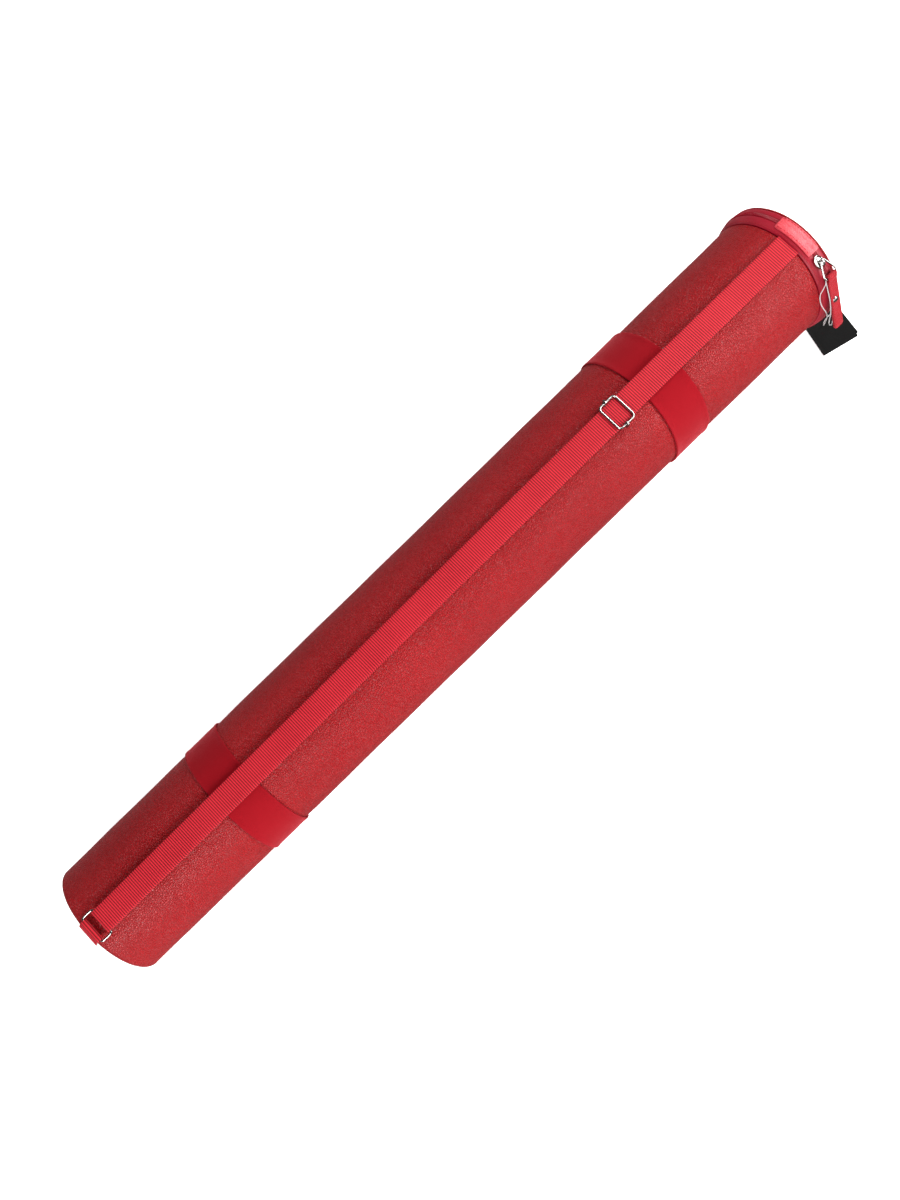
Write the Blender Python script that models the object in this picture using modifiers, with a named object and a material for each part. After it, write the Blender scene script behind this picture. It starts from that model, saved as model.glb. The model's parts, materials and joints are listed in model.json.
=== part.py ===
"""Cue case: a round, hard-walled case with a zipped end lid and a carrying strap, lying on its side.

The tube's axis is the X axis, from the base's flat face at X = 0 to the lid's top at X = LENGTH.
The lid's leather hinge and the strap lie along the top (+Z), and the zip's slider and its pull
are on the -Y side. Sizes below are in millimetres; the scene is in metres.
"""
import math

import bmesh
import bpy
from mathutils import Matrix, Vector

MM = 0.001
COLLECTION = "cue_case"
CUTTERS = "cutters"

# The case as a whole
LENGTH = 850.0
LEATHER_R = 58.0
LEATHER_T = 1.2
GAP = 0.3
SIDES = 48

# The stiff tube and what lines it
CORE_OUTER_R = LEATHER_R - LEATHER_T - GAP
CORE_WALL = 2.4
CORE_END = 829.0
LINING_OUTER_R = CORE_OUTER_R - CORE_WALL - GAP
LINING_T = 0.8
BASE_EDGE_R = 5.0
BASE_FACE = 1.0
COVER_END = 831.0

# The zip, which runs round the mouth
ZIP_X = 840.5
ZIP_OUTER_R = 61.3
ZIP_HALF_GAP = 0.15
COIL_W = 1.45
HINGE_Z = 61.45
PATCH_INNER_R = 61.6
PATCH_T = 1.1
PATCH_HALF_ANGLE = math.radians(18.7)
PATCH_START = 834.6
PATCH_END = 846.4

# The bands
BAND_OUTER_R = 59.5
BAND_INNER_R = LEATHER_R + 0.25
BANDS = {"band_lower": (156.5, 194.5), "band_upper": (655.4, 694.3)}

# The strap, which lies in the plane through STRAP_PIVOT turned by STRAP_TURN about Z
STRAP_W = 22.2
STRAP_T = 1.2
STRAP_PIVOT_X = 831.0
STRAP_TURN = 0.00567
STRAP_Z = 63.8
STRAP_TOP_END = (830.6, 58.95)
STRAP_DROP_START = 660.0
WIRE_R = 1.0
RING_STRAP_BAR_X = 20.5
RING_TAB_BAR_X = 8.9
RING_HALF_W = 12.6
TURN_R = WIRE_R + GAP + STRAP_T / 2
RING_Z = STRAP_Z - TURN_R
BAND_PASS_Z = BAND_OUTER_R + GAP + 0.05 + STRAP_T / 2
BUCKLE_LOW_BAR_X = 617.6
BUCKLE_HIGH_BAR_X = 635.1
BUCKLE_HALF_W = 12.6
BUCKLE_Z = STRAP_Z + STRAP_T / 2 + GAP + WIRE_R
BAR_X = 625.2
BAR_R = 0.8
BAR_Z = 60.6
BAR_TURN_R = BAR_R + GAP + STRAP_T / 2
BAR_HOOK_Y = 14.7

# The zip's slider and its pull, built at the top and turned to their place
SLIDER_ANGLE = math.radians(27.0)
SLIDER_X = 840.0
SLIDER_PLATE_X = 838.8
SLIDER_SIZE = (7.4, 12.0, 1.0)
SLIDER_Z = ZIP_OUTER_R + 0.4
LINK_PIVOT_Z = 64.4
LINK_BAR_Y = -16.1
LINK_BAR_Z = 62.7
LINK_NEAR_X = (838.6, 842.6)
LINK_FAR_X = (835.4, 848.0)
LINK_WIRE_R = 0.9
PULLER_X = 841.7
PULLER_W = 10.0
PULLER_LENGTH = 57.0
PULLER_TILT = math.radians(13.5)
PULLER_T = 1.1
PULLER_HALF_GAP = 0.1
RIVET_AT = 26.0

# The cue tubes inside
INSERT_END = 832.0
BASE_PAD_END = 16.0
BUTT_TUBE = (18.0, 1.5)
SHAFT_TUBE = (11.0, 1.5)
BUTT_AT = [(0.0, 18.6), (0.0, -18.6)]
SHAFT_AT = [(33.0, 13.0), (33.0, -13.0), (-33.0, 13.0), (-33.0, -13.0)]
SPACERS = {"spacer_lower": (30.0, 42.0), "spacer_upper": (815.0, 829.0)}

# The swing tag
FLOOR_Z = -ZIP_OUTER_R
LID_RIM_DEPTH = 2.4
LID_RIM_R = 60.4
LID_EDGE_R = 1.9

TAG_SIZE = (37.4, 35.0, 0.5)
TAG_TURN = math.radians(-13.8)
TAG_CENTRE = (869.6, -71.6)
THREAD_R = 0.4
THREAD_ROUTE = [
    (834.4, -43.4, 49.6),
    (833.4, -45.2, 47.2),
    (830.2, -46.6, 44.8),
    (826.4, -48.2, 42.2),
    (825.2, -52.4, 36.8),
    (828.2, -57.2, 28.2),
    (833.6, -61.6, 17.0),
    (838.5, -63.8, 4.0),
    (843.0, -64.4, -9.0),
    (849.0, -64.6, -24.0),
    (856.5, -63.8, -39.0),
    (867.0, -61.4, -52.5),
    (877.0, -59.8, -58.6),
    (880.8, -60.8, -57.0),
    (877.0, -63.8, -52.0),
    (867.0, -67.4, -44.0),
    (857.0, -69.4, -31.0),
    (848.0, -70.0, -15.0),
    (839.5, -69.4, -3.0),
    (834.6, -67.6, 9.0),
    (834.0, -63.8, 21.0),
    (833.9, -57.8, 32.0),
    (834.1, -50.6, 41.0),
    (834.5, -44.8, 47.2),
]
THREAD_POINTS = 72

RED_LEATHER = ((0.42, 0.018, 0.026), 0.42, 0.0)
RED_PATENT = ((0.46, 0.012, 0.035), 0.35, 0.0)
RED_WEB = ((0.60, 0.016, 0.030), 0.75, 0.0)
RED_BAND = ((0.36, 0.004, 0.014), 0.95, 0.0)
RED_ZIP = ((0.30, 0.006, 0.016), 0.6, 0.0)
STEEL = ((0.80, 0.79, 0.78), 0.22, 1.0)
BOARD = ((0.32, 0.24, 0.16), 0.9, 0.0)
BLACK_CLOTH = ((0.012, 0.012, 0.014), 0.95, 0.0)
BLACK_FOAM = ((0.02, 0.02, 0.022), 0.98, 0.0)
BLACK_PLASTIC = ((0.015, 0.015, 0.016), 0.4, 0.0)
LID_LAYERS = [
    ("lid_board", 3.1, 58.0, BOARD),
    ("lid_pad", 2.7, 57.4, BLACK_FOAM),
    ("lid_lining", 0.9, 57.4, BLACK_CLOTH),
]
BLACK_CARD = ((0.012, 0.012, 0.012), 0.55, 0.0)
NYLON = ((0.85, 0.85, 0.85), 0.2, 0.0)


def clear_scene():
    for obj in list(bpy.data.objects):
        bpy.data.objects.remove(obj, do_unlink=True)
    for name in (COLLECTION, CUTTERS):
        made = bpy.data.collections.new(name)
        bpy.context.scene.collection.children.link(made)


def material(name, finish):
    colour, roughness, metallic = finish
    made = bpy.data.materials.new(name)
    made.use_nodes = True
    shader = made.node_tree.nodes["Principled BSDF"]
    shader.inputs["Base Color"].default_value = (*colour, 1.0)
    shader.inputs["Roughness"].default_value = roughness
    shader.inputs["Metallic"].default_value = metallic
    made.diffuse_color = (*colour, 1.0)
    return made


def keep(name, data, finish, collection=COLLECTION):
    """Make an object of this data in the named collection, with its own material."""
    obj = bpy.data.objects.new(name, data)
    data.materials.clear()
    data.materials.append(material(name, finish))
    bpy.data.collections[collection].objects.link(obj)
    return obj


def smooth(obj, degrees=35.0):
    obj.data.shade_smooth()
    obj.data.set_sharp_from_angle(angle=math.radians(degrees))


def turned(name, profile, finish, closed=True, sides=SIDES, centre=(0.0, 0.0)):
    """Turn a profile of (x, radius) points about an axis along X; a closed profile makes a ring.

    A ring's points run from low x to high x along its outer side, and back along its inner side.
    An open profile starts and ends on the axis.
    """
    mesh = bpy.data.meshes.new(name)
    points = [(x * MM, 0.0, r * MM) for x, r in reversed(profile)]
    edges = [(i, i + 1) for i in range(len(points) - 1)]
    if closed:
        edges.append((len(points) - 1, 0))
    mesh.from_pydata(points, edges, [])
    obj = keep(name, mesh, finish)
    screw = obj.modifiers.new("turn", "SCREW")
    screw.axis = "X"
    screw.steps = sides
    screw.render_steps = sides
    screw.use_merge_vertices = True
    screw.merge_threshold = 0.00001
    screw.use_smooth_shade = True
    obj.rotation_euler = (math.pi / sides, 0.0, 0.0)
    obj.location = (0.0, centre[0] * MM, centre[1] * MM)
    return obj


def arc(centre, radius, start, end, steps):
    """Points on an arc; an angle of 0 points along +X of the pair and 90 along +Z."""
    angles = [math.radians(start + (end - start) * i / steps) for i in range(steps + 1)]
    return [(centre[0] + radius * math.cos(a), centre[1] + radius * math.sin(a)) for a in angles]


def disc(name, start, end, radius, finish):
    return turned(name, [(start, 0.0), (start, radius), (end, radius), (end, 0.0)], finish, closed=False)


def ring(name, start, end, inner, outer, finish, **options):
    return turned(name, [(start, outer), (end, outer), (end, inner), (start, inner)], finish, **options)


def wire(name, points, radius, finish, cyclic=False, resolution=2):
    """A round wire along straight runs between points given in millimetres."""
    curve = bpy.data.curves.new(name, "CURVE")
    curve.dimensions = "3D"
    curve.bevel_depth = radius * MM
    curve.bevel_resolution = resolution
    curve.use_fill_caps = not cyclic
    spline = curve.splines.new("POLY")
    spline.points.add(len(points) - 1)
    for point, place in zip(spline.points, points):
        point.co = (place[0] * MM, place[1] * MM, place[2] * MM, 1.0)
    spline.use_cyclic_u = cyclic
    return keep(name, curve, finish)


def side_outline(name, outline, width, finish):
    """A flat shape drawn in the X-Z plane, given a width along Y."""
    curve = bpy.data.curves.new(name, "CURVE")
    curve.dimensions = "2D"
    curve.fill_mode = "BOTH"
    curve.extrude = width / 2 * MM
    spline = curve.splines.new("POLY")
    spline.points.add(len(outline) - 1)
    for point, (x, z) in zip(spline.points, outline):
        point.co = (x * MM, z * MM, 0.0, 1.0)
    spline.use_cyclic_u = True
    obj = keep(name, curve, finish)
    obj.rotation_euler = (math.pi / 2, 0.0, 0.0)
    return obj


def offset_path(path, distance):
    """The path moved sideways by a distance, with mitred corners."""
    points = [Vector(p) for p in path]
    moved = []
    for i, point in enumerate(points):
        before = (point - points[i - 1]).normalized() if i else None
        after = (points[i + 1] - point).normalized() if i < len(points) - 1 else None
        before = before or after
        after = after or before
        normal = Vector((-(before.y + after.y), before.x + after.x)).normalized()
        across = Vector((-before.y, before.x))
        moved.append(tuple(point + normal * distance / max(normal.dot(across), 0.5)))
    return moved


def ribbon(name, path, thickness, width, finish):
    """Webbing or leather of even thickness that follows a path of (x, z) points."""
    outline = offset_path(path, thickness / 2) + offset_path(path, -thickness / 2)[::-1]
    return side_outline(name, outline, width, finish)


def rounded_rectangle(x_low, x_high, half_width, corner, z, steps=4):
    """Corner-rounded loop of points in a level plane."""
    points = []
    corners = [
        (x_high - corner, half_width - corner, 0.0),
        (x_low + corner, half_width - corner, 90.0),
        (x_low + corner, -half_width + corner, 180.0),
        (x_high - corner, -half_width + corner, 270.0),
    ]
    for x, y, start in corners:
        points += [(px, py, z) for px, py in arc((x, y), corner, start, start + 90.0, steps)]
    return points


def box(name, centre, size, finish, turn=(0.0, 0.0, 0.0), bevel=0.0):
    mesh = bpy.data.meshes.new(name)
    shape = bmesh.new()
    bmesh.ops.create_cube(shape, size=1.0)
    bmesh.ops.scale(shape, vec=Vector(size) * MM, verts=shape.verts)
    shape.to_mesh(mesh)
    shape.free()
    obj = keep(name, mesh, finish)
    obj.location = Vector(centre) * MM
    obj.rotation_euler = turn
    if bevel:
        edge = obj.modifiers.new("edge", "BEVEL")
        edge.width = bevel * MM
        edge.segments = 2
    return obj


# ---------------------------------------------------------------- the tube


def make_core():
    start = BASE_FACE + BASE_EDGE_R
    return ring("core_tube", start, CORE_END, CORE_OUTER_R - CORE_WALL, CORE_OUTER_R, BOARD)


def make_tube_cover():
    """The leather sleeve, rounded over the base's edge."""
    centre = (BASE_FACE + BASE_EDGE_R, LEATHER_R - BASE_EDGE_R)
    outer = arc(centre, BASE_EDGE_R, 180.0, 90.0, 4)
    inner = arc(centre, BASE_EDGE_R - LEATHER_T, 90.0, 180.0, 3)
    profile = outer + [(COVER_END, LEATHER_R), (COVER_END, LEATHER_R - LEATHER_T)] + inner
    return turned("tube_cover", profile, RED_LEATHER)


def make_base():
    radius = LEATHER_R - BASE_EDGE_R - GAP
    disc("base_cover", 0.0, LEATHER_T, radius, RED_LEATHER)
    disc("base_board", LEATHER_T + GAP, BASE_FACE + BASE_EDGE_R - GAP, radius, BOARD)
    disc("base_pad", BASE_FACE + BASE_EDGE_R, BASE_PAD_END, LINING_OUTER_R, BLACK_FOAM)


def make_lining():
    start = BASE_PAD_END + GAP
    return ring("tube_lining", start, CORE_END, LINING_OUTER_R - LINING_T, LINING_OUTER_R, BLACK_CLOTH)


def make_bands():
    """Two wide elastic bands, each with a slightly raised lip along both edges."""
    lip = 2.0
    dip = 0.3
    for name, (start, end) in BANDS.items():
        top = [
            (start, BAND_OUTER_R),
            (start + lip, BAND_OUTER_R),
            (start + lip + 1.0, BAND_OUTER_R - dip),
            (end - lip - 1.0, BAND_OUTER_R - dip),
            (end - lip, BAND_OUTER_R),
            (end, BAND_OUTER_R),
        ]
        turned(name, top + [(end, BAND_INNER_R), (start, BAND_INNER_R)], RED_BAND)


def make_cue_insert():
    """Lined tubes for two butts and four shafts, held by a foam spacer near each end."""
    holes = []
    for prefix, places, (radius, wall) in (
        ("butt_tube", BUTT_AT, BUTT_TUBE),
        ("shaft_tube", SHAFT_AT, SHAFT_TUBE),
    ):
        for number, place in enumerate(places, 1):
            name = f"{prefix}_{number}"
            start = BASE_PAD_END + GAP
            sides = 20 if prefix == "butt_tube" else 16
            ring(name, start, INSERT_END, radius - wall, radius, BLACK_PLASTIC, sides=sides, centre=place)
            holes.append((place, radius + GAP, sides))
    for name, (start, end) in SPACERS.items():
        make_spacer(name, start, end, holes)


def make_spacer(name, start, end, holes):
    radius = LINING_OUTER_R - LINING_T - GAP
    spacer = disc(name, start, end, radius, BLACK_FOAM)
    for number, (place, hole, sides) in enumerate(holes, 1):
        past = 5.0
        profile = [(start - past, 0.0), (start - past, hole), (end + past, hole), (end + past, 0.0)]
        cutter = turned(f"{name}_hole_{number}", profile, BLACK_FOAM, False, sides, place)
        bpy.data.collections[COLLECTION].objects.unlink(cutter)
        bpy.data.collections[CUTTERS].objects.link(cutter)
        cutter.hide_render = True
        cutter.display_type = "WIRE"
        cut = spacer.modifiers.new(f"hole_{number}", "BOOLEAN")
        cut.operation = "DIFFERENCE"
        cut.object = cutter


# ---------------------------------------------------------------- the zip and the lid


def make_zip_side(tape_name, coil_name, direction):
    """One half of the zip: its bulging tape and its coil. Direction is -1 on the tube, 1 on the lid."""
    near = ZIP_HALF_GAP
    outer = ZIP_OUTER_R
    coil = [
        (near, outer - 1.7),
        (near, outer - 0.3),
        (near + 0.4, outer),
        (near + COIL_W - 0.4, outer),
        (near + COIL_W, outer - 0.3),
        (near + COIL_W, outer - 1.7),
    ]
    tape_near = near + COIL_W + GAP
    if direction < 0:
        tape = [
            (tape_near, outer - 0.4),
            (tape_near + 2.6, outer - 0.8),
            (tape_near + 5.2, outer - 1.7),
            (tape_near + 7.3, outer - 3.0),
            (tape_near + 7.3, outer - 4.3),
            (tape_near + 5.2, outer - 3.1),
            (tape_near, outer - 1.7),
        ]
    else:
        tape = [
            (tape_near, outer - 0.4),
            (tape_near + 2.6, outer - 0.45),
            (tape_near + 4.8, outer - 0.8),
            (tape_near + 4.8, outer - 2.1),
            (tape_near, outer - 1.7),
        ]
    for name, shape, finish in ((coil_name, coil, RED_ZIP), (tape_name, tape, RED_PATENT)):
        profile = [(ZIP_X + direction * x, r) for x, r in shape]
        turned(name, profile if direction > 0 else profile[::-1], finish)


def make_lid():
    """A stiff disc with a leather cap, a pad and a cloth lining, inside the upper zip tape."""
    rim_start = LENGTH - LID_RIM_DEPTH
    cap_under = LENGTH - LEATHER_T
    outside = [(rim_start, LID_RIM_R)]
    outside += arc((LENGTH - LID_EDGE_R, LID_RIM_R - LID_EDGE_R - 0.1), LID_EDGE_R, 90.0, 0.0, 3)
    inside = [(rim_start, LID_RIM_R - 1.4), (cap_under, LID_RIM_R - 2.0), (cap_under, 0.0)]
    turned("lid_cover", inside[::-1] + outside + [(LENGTH, 0.0)], RED_LEATHER, closed=False)
    back = cap_under - GAP
    for name, thickness, radius, look in LID_LAYERS:
        disc(name, back - thickness, back, radius, look)
        back = back - thickness - GAP


def make_hinge_patch():
    """The leather patch over the top of the zip, which is the lid's hinge and covers the zip's two ends."""
    mesh = bpy.data.meshes.new("hinge_patch")
    ends = [(PATCH_START * MM, 0.0, PATCH_INNER_R * MM), (PATCH_END * MM, 0.0, PATCH_INNER_R * MM)]
    mesh.from_pydata(ends, [(0, 1)], [])
    patch = keep("hinge_patch", mesh, RED_LEATHER)
    screw = patch.modifiers.new("turn", "SCREW")
    screw.axis = "X"
    screw.angle = 2 * PATCH_HALF_ANGLE
    screw.steps = 12
    screw.render_steps = 12
    screw.use_merge_vertices = False
    patch.rotation_euler = (-PATCH_HALF_ANGLE, 0.0, 0.0)
    skin = patch.modifiers.new("skin", "SOLIDIFY")
    skin.thickness = PATCH_T * MM
    skin.offset = -1.0
    return patch


# ---------------------------------------------------------------- the zip's slider and pull


def at_slider(objects):
    """Turn objects built at the top of the case to the slider's place, about the tube's axis."""
    holder = bpy.data.objects.new("slider_place", None)
    bpy.data.collections[COLLECTION].objects.link(holder)
    for obj in objects:
        obj.parent = holder
    holder.rotation_euler = (SLIDER_ANGLE, 0.0, 0.0)


def make_slider():
    x = SLIDER_X
    plate_z = SLIDER_Z + SLIDER_SIZE[2] / 2
    plate = box("slider_plate", (SLIDER_PLATE_X, 0.0, plate_z), SLIDER_SIZE, STEEL, bevel=0.3)
    foot = SLIDER_Z + SLIDER_SIZE[2] + GAP + 0.7
    top = LINK_PIVOT_Z + LINK_WIRE_R + GAP + 0.7
    side = [(-4.6, foot), (-3.6, top - 0.6), (-2.2, top)]
    path = [(x, y, z) for y, z in side] + [(x, -y, z) for y, z in side[::-1]]
    bridge = wire("slider_bridge", path, 0.7, STEEL, resolution=1)
    return [plate, bridge]


def make_pull_link():
    """A trapezoid of wire, narrow under the slider's bridge and wide where the leather pull hangs."""
    near_low, near_high = LINK_NEAR_X
    far_low, far_high = LINK_FAR_X
    y, z = LINK_BAR_Y, LINK_BAR_Z
    corner = 0.5
    straight = 3.6
    slope = (LINK_BAR_Z - LINK_PIVOT_Z) / -LINK_BAR_Y
    points = [
        (near_low, 0.0, LINK_PIVOT_Z),
        (near_high, 0.0, LINK_PIVOT_Z),
        (far_high, y + straight, z - slope * straight),
        (far_high, y + corner, z - slope * corner),
        (far_high - corner, y, z),
        (far_low + corner, y, z),
        (far_low, y + corner, z - slope * corner),
        (far_low, y + straight, z - slope * straight),
    ]
    link = wire("pull_link", points, LINK_WIRE_R, STEEL, cyclic=True, resolution=1)
    return [link]


def make_puller():
    """A leather strip folded round the link's wide bar, its two layers held by a rivet."""
    spread = LINK_WIRE_R + GAP + PULLER_T / 2
    close = PULLER_HALF_GAP + PULLER_T / 2
    upper = [(PULLER_LENGTH, close), (6.5, close), (2.6, spread * 0.9)]
    loop = arc((0.0, 0.0), spread, 65.0, 295.0, 7)
    lower = [(x, -z) for x, z in upper[::-1]]
    strip = ribbon("puller", upper + loop + lower, PULLER_T, PULLER_W, RED_LEATHER)
    bar_angle = math.atan2(-LINK_BAR_Y, LINK_BAR_Z)
    # The strip is drawn along +X in the X-Z plane; it is turned to run along -Y, out along the tangent.
    turn = Matrix.Rotation(bar_angle + PULLER_TILT, 4, "X") @ Matrix.Rotation(-math.pi / 2, 4, "Z")
    place = Matrix.Translation(Vector((PULLER_X, LINK_BAR_Y, LINK_BAR_Z)) * MM) @ turn
    half = PULLER_HALF_GAP + PULLER_T
    parts = [strip]
    for name, side, height, radius in (("rivet_cap", 1.0, 1.1, 2.75), ("rivet_back", -1.0, 0.6, 2.75)):
        dome = make_dome(name, radius, height)
        dome.matrix_world = place @ Matrix.Translation(Vector((RIVET_AT, 0.0, side * (half + GAP))) * MM)
        if side < 0:
            dome.matrix_world = dome.matrix_world @ Matrix.Rotation(math.pi, 4, "X")
        parts.append(dome)
    strip.matrix_world = place @ Matrix.Rotation(math.pi / 2, 4, "X")
    return parts


def make_dome(name, radius, height):
    """A low rivet head with its flat face at its origin."""
    mesh = bpy.data.meshes.new(name)
    shape = bmesh.new()
    bmesh.ops.create_cone(
        shape, cap_ends=True, segments=16, radius1=radius * MM, radius2=radius * 0.55 * MM, depth=height * MM
    )
    bmesh.ops.translate(shape, vec=(0.0, 0.0, height / 2 * MM), verts=shape.verts)
    shape.to_mesh(mesh)
    shape.free()
    dome = keep(name, mesh, STEEL)
    smooth(dome, 60.0)
    return dome


# ---------------------------------------------------------------- the strap


def along_strap(objects):
    """Turn the strap and its fittings together, so that the strap drifts sideways towards the base."""
    holder = bpy.data.objects.new("strap_line", None)
    bpy.data.collections[COLLECTION].objects.link(holder)
    holder.location = (STRAP_PIVOT_X * MM, 0.0, 0.0)
    shift = Matrix.Translation((-STRAP_PIVOT_X * MM, 0.0, 0.0))
    for obj in objects:
        obj.parent = holder
        obj.matrix_parent_inverse = shift
    holder.rotation_euler = (0.0, 0.0, STRAP_TURN)


def make_strap_main():
    """From the seam under the lid, over the upper band, through the buckle and round the ring's bar."""
    turn = arc((RING_STRAP_BAR_X, RING_Z), TURN_R, 90.0, 262.0, 8)
    path = [STRAP_TOP_END, (STRAP_DROP_START, STRAP_Z)] + turn
    return ribbon("strap_main", path, STRAP_T, STRAP_W, RED_WEB)


def make_strap_return():
    """The layer between the main run and the tube, from the ring back to the buckle's bar."""
    band_start, band_end = BANDS["band_lower"]
    under_ring = RING_Z - TURN_R
    at_bar = BAR_Z - BAR_TURN_R
    path = [
        (RING_STRAP_BAR_X + 0.4, under_ring),
        (band_start - 12.0, BAND_PASS_Z),
        (band_end + 12.0, BAND_PASS_Z),
        (band_end + 60.0, at_bar),
        (603.0, at_bar),
    ]
    return ribbon("strap_return", path, STRAP_T, STRAP_W, RED_WEB)


def make_strap_end_loop():
    """The sewn end of the webbing, wrapped round the buckle's sliding bar."""
    start = 603.0 + GAP
    turn = arc((BAR_X, BAR_Z), BAR_TURN_R, -90.0, 90.0, 8)
    path = [(start, BAR_Z - BAR_TURN_R)] + turn + [(start + 6.0, BAR_Z + BAR_TURN_R)]
    return ribbon("strap_end_loop", path, STRAP_T, STRAP_W, RED_WEB)


def make_buckle_frame():
    loop = rounded_rectangle(BUCKLE_LOW_BAR_X, BUCKLE_HIGH_BAR_X, BUCKLE_HALF_W, 3.4, BUCKLE_Z)
    return wire("buckle_frame", loop, WIRE_R, STEEL, cyclic=True)


def make_buckle_bar():
    """The sliding bar: straight under the webbing, with hooked ends that run on the frame's side wires."""
    y, top = BAR_HOOK_Y, BUCKLE_Z + WIRE_R + GAP + BAR_R
    half = [(y - 2.4, top), (y - 0.7, top - 0.3), (y, top - 1.0), (y, BAR_Z + 1.2), (y - 1.2, BAR_Z)]
    points = [(BAR_X, py, z) for py, z in half] + [(BAR_X, -py, z) for py, z in half[::-1]]
    return wire("buckle_bar", points, BAR_R, STEEL)


def make_base_ring():
    loop = rounded_rectangle(RING_TAB_BAR_X, RING_STRAP_BAR_X, RING_HALF_W, 1.4, RING_Z)
    return wire("base_ring", loop, WIRE_R, STEEL, cyclic=True)


def make_ring_tab():
    """The short webbing tab that holds the ring and goes over the base's rounded edge."""
    edge = (BASE_FACE + BASE_EDGE_R, LEATHER_R - BASE_EDGE_R)
    hug = BASE_EDGE_R + GAP + STRAP_T / 2
    lower = [(5.6, LEATHER_R + GAP + STRAP_T / 2), (RING_TAB_BAR_X - 1.2, RING_Z - TURN_R)]
    loop = arc((RING_TAB_BAR_X, RING_Z), TURN_R, -90.0, 90.0, 7)
    over = [(RING_TAB_BAR_X - 1.6, RING_Z + TURN_R - 0.2), (3.9, 61.2)]
    wrap = arc(edge, hug, 128.0, 165.0, 3)
    return ribbon("ring_tab", lower + loop + over + wrap, STRAP_T, STRAP_W, RED_WEB)


# ---------------------------------------------------------------- the swing tag


def make_tags():
    """Two blank cards lying by the lid, and the thread loop that ties them to the pull."""
    x, y = TAG_CENTRE
    low = FLOOR_Z + 0.1 + TAG_SIZE[2] / 2
    box("tag_front", (x, y, low + TAG_SIZE[2] + GAP), TAG_SIZE, BLACK_CARD, (0.0, 0.0, TAG_TURN))
    turn = TAG_TURN + math.radians(4.0)
    box("tag_back", (x + 1.6, y + 1.2, low), TAG_SIZE, BLACK_CARD, (0.0, 0.0, turn))
    wire("tag_thread", smooth_route(THREAD_ROUTE, THREAD_POINTS), THREAD_R, NYLON)


def smooth_route(places, count):
    """Points evenly spread by place number on a Catmull-Rom curve through the route."""
    points = [Vector(p) for p in places]
    ends = [2 * points[0] - points[1]] + points + [2 * points[-1] - points[-2]]
    made = []
    for i in range(count):
        at = i * (len(points) - 1) / (count - 1)
        k = min(int(at), len(points) - 2)
        t = at - k
        a, b, c, d = ends[k : k + 4]
        square = (2 * a - 5 * b + 4 * c - d) * t**2
        cube = (3 * b - a - 3 * c + d) * t**3
        made.append(0.5 * (2 * b + (c - a) * t + square + cube))
    return made


def main():
    clear_scene()
    make_core()
    make_tube_cover()
    make_base()
    make_lining()
    make_bands()
    make_cue_insert()
    make_zip_side("zip_tape_tube", "zip_coil_tube", -1)
    make_zip_side("zip_tape_lid", "zip_coil_lid", 1)
    make_lid()
    make_hinge_patch()
    at_slider(make_slider() + make_pull_link() + make_puller())
    strap = [make_strap_main(), make_strap_return(), make_strap_end_loop()]
    fittings = [make_buckle_frame(), make_buckle_bar(), make_base_ring(), make_ring_tab()]
    along_strap(strap + fittings)
    make_tags()


main()
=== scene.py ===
import json
import math

import bmesh
import bpy
import numpy as np
from mathutils import Matrix, Vector


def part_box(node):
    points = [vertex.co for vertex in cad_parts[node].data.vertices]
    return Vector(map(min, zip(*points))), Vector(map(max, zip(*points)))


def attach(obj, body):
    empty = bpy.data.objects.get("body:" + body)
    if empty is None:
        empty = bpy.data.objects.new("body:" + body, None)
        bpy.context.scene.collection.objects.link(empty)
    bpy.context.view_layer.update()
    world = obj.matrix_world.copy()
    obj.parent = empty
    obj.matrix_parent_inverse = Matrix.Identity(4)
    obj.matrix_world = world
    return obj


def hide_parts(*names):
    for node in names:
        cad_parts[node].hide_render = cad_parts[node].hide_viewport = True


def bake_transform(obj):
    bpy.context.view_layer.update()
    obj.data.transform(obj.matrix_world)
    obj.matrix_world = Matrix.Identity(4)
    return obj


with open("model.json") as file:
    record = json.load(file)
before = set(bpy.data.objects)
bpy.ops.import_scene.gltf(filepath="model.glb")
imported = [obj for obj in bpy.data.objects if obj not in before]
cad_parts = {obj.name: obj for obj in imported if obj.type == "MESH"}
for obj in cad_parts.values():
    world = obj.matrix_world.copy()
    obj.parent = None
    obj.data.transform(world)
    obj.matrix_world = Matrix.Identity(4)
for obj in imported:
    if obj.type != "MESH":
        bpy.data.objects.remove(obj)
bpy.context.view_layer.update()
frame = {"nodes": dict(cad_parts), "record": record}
MM = 0.001
TAU = 2 * math.pi


# ---- what the frame says


def low(node, axis):
    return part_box(node)[0]["xyz".index(axis)]


def high(node, axis):
    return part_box(node)[1]["xyz".index(axis)]


def middle(node, axis):
    return (low(node, axis) + high(node, axis)) / 2


def joint(name):
    return next(j for j in frame["record"]["behaviour"]["joints"] if j["name"] == name)


CAD_SIDES = 48
FLAT_TO_CORNER = 1.0 / math.cos(math.pi / CAD_SIDES)
LENGTH = high("lid_cover", "x")
LEATHER_R = high("tube_cover", "z") * FLAT_TO_CORNER
LEATHER_WALL = 1.2 * MM
BASE_EDGE_R = 5.0 * MM
BASE_FACE = low("tube_cover", "x")
COVER_END = high("tube_cover", "x")
BAND_R = high("band_upper", "z") * FLAT_TO_CORNER
ZIP_R = high("zip_coil_lid", "z") * FLAT_TO_CORNER
ZIP_X = joint("lid_hinge")["pos_m"][0]
FLOOR_Z = -ZIP_R - 0.05 * MM
STRAP_W = 22.2 * MM
STRAP_T = 1.2 * MM
WIRE_R = 1.0 * MM
BAR_R = 0.8 * MM
CLEARANCE = 0.3 * MM
STRAP_PIVOT = Vector((high("strap_main", "x"), 0.0, 0.0))
STRAP_DIRECTION = Vector(joint("buckle_slide")["axis"]).normalized()
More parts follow.
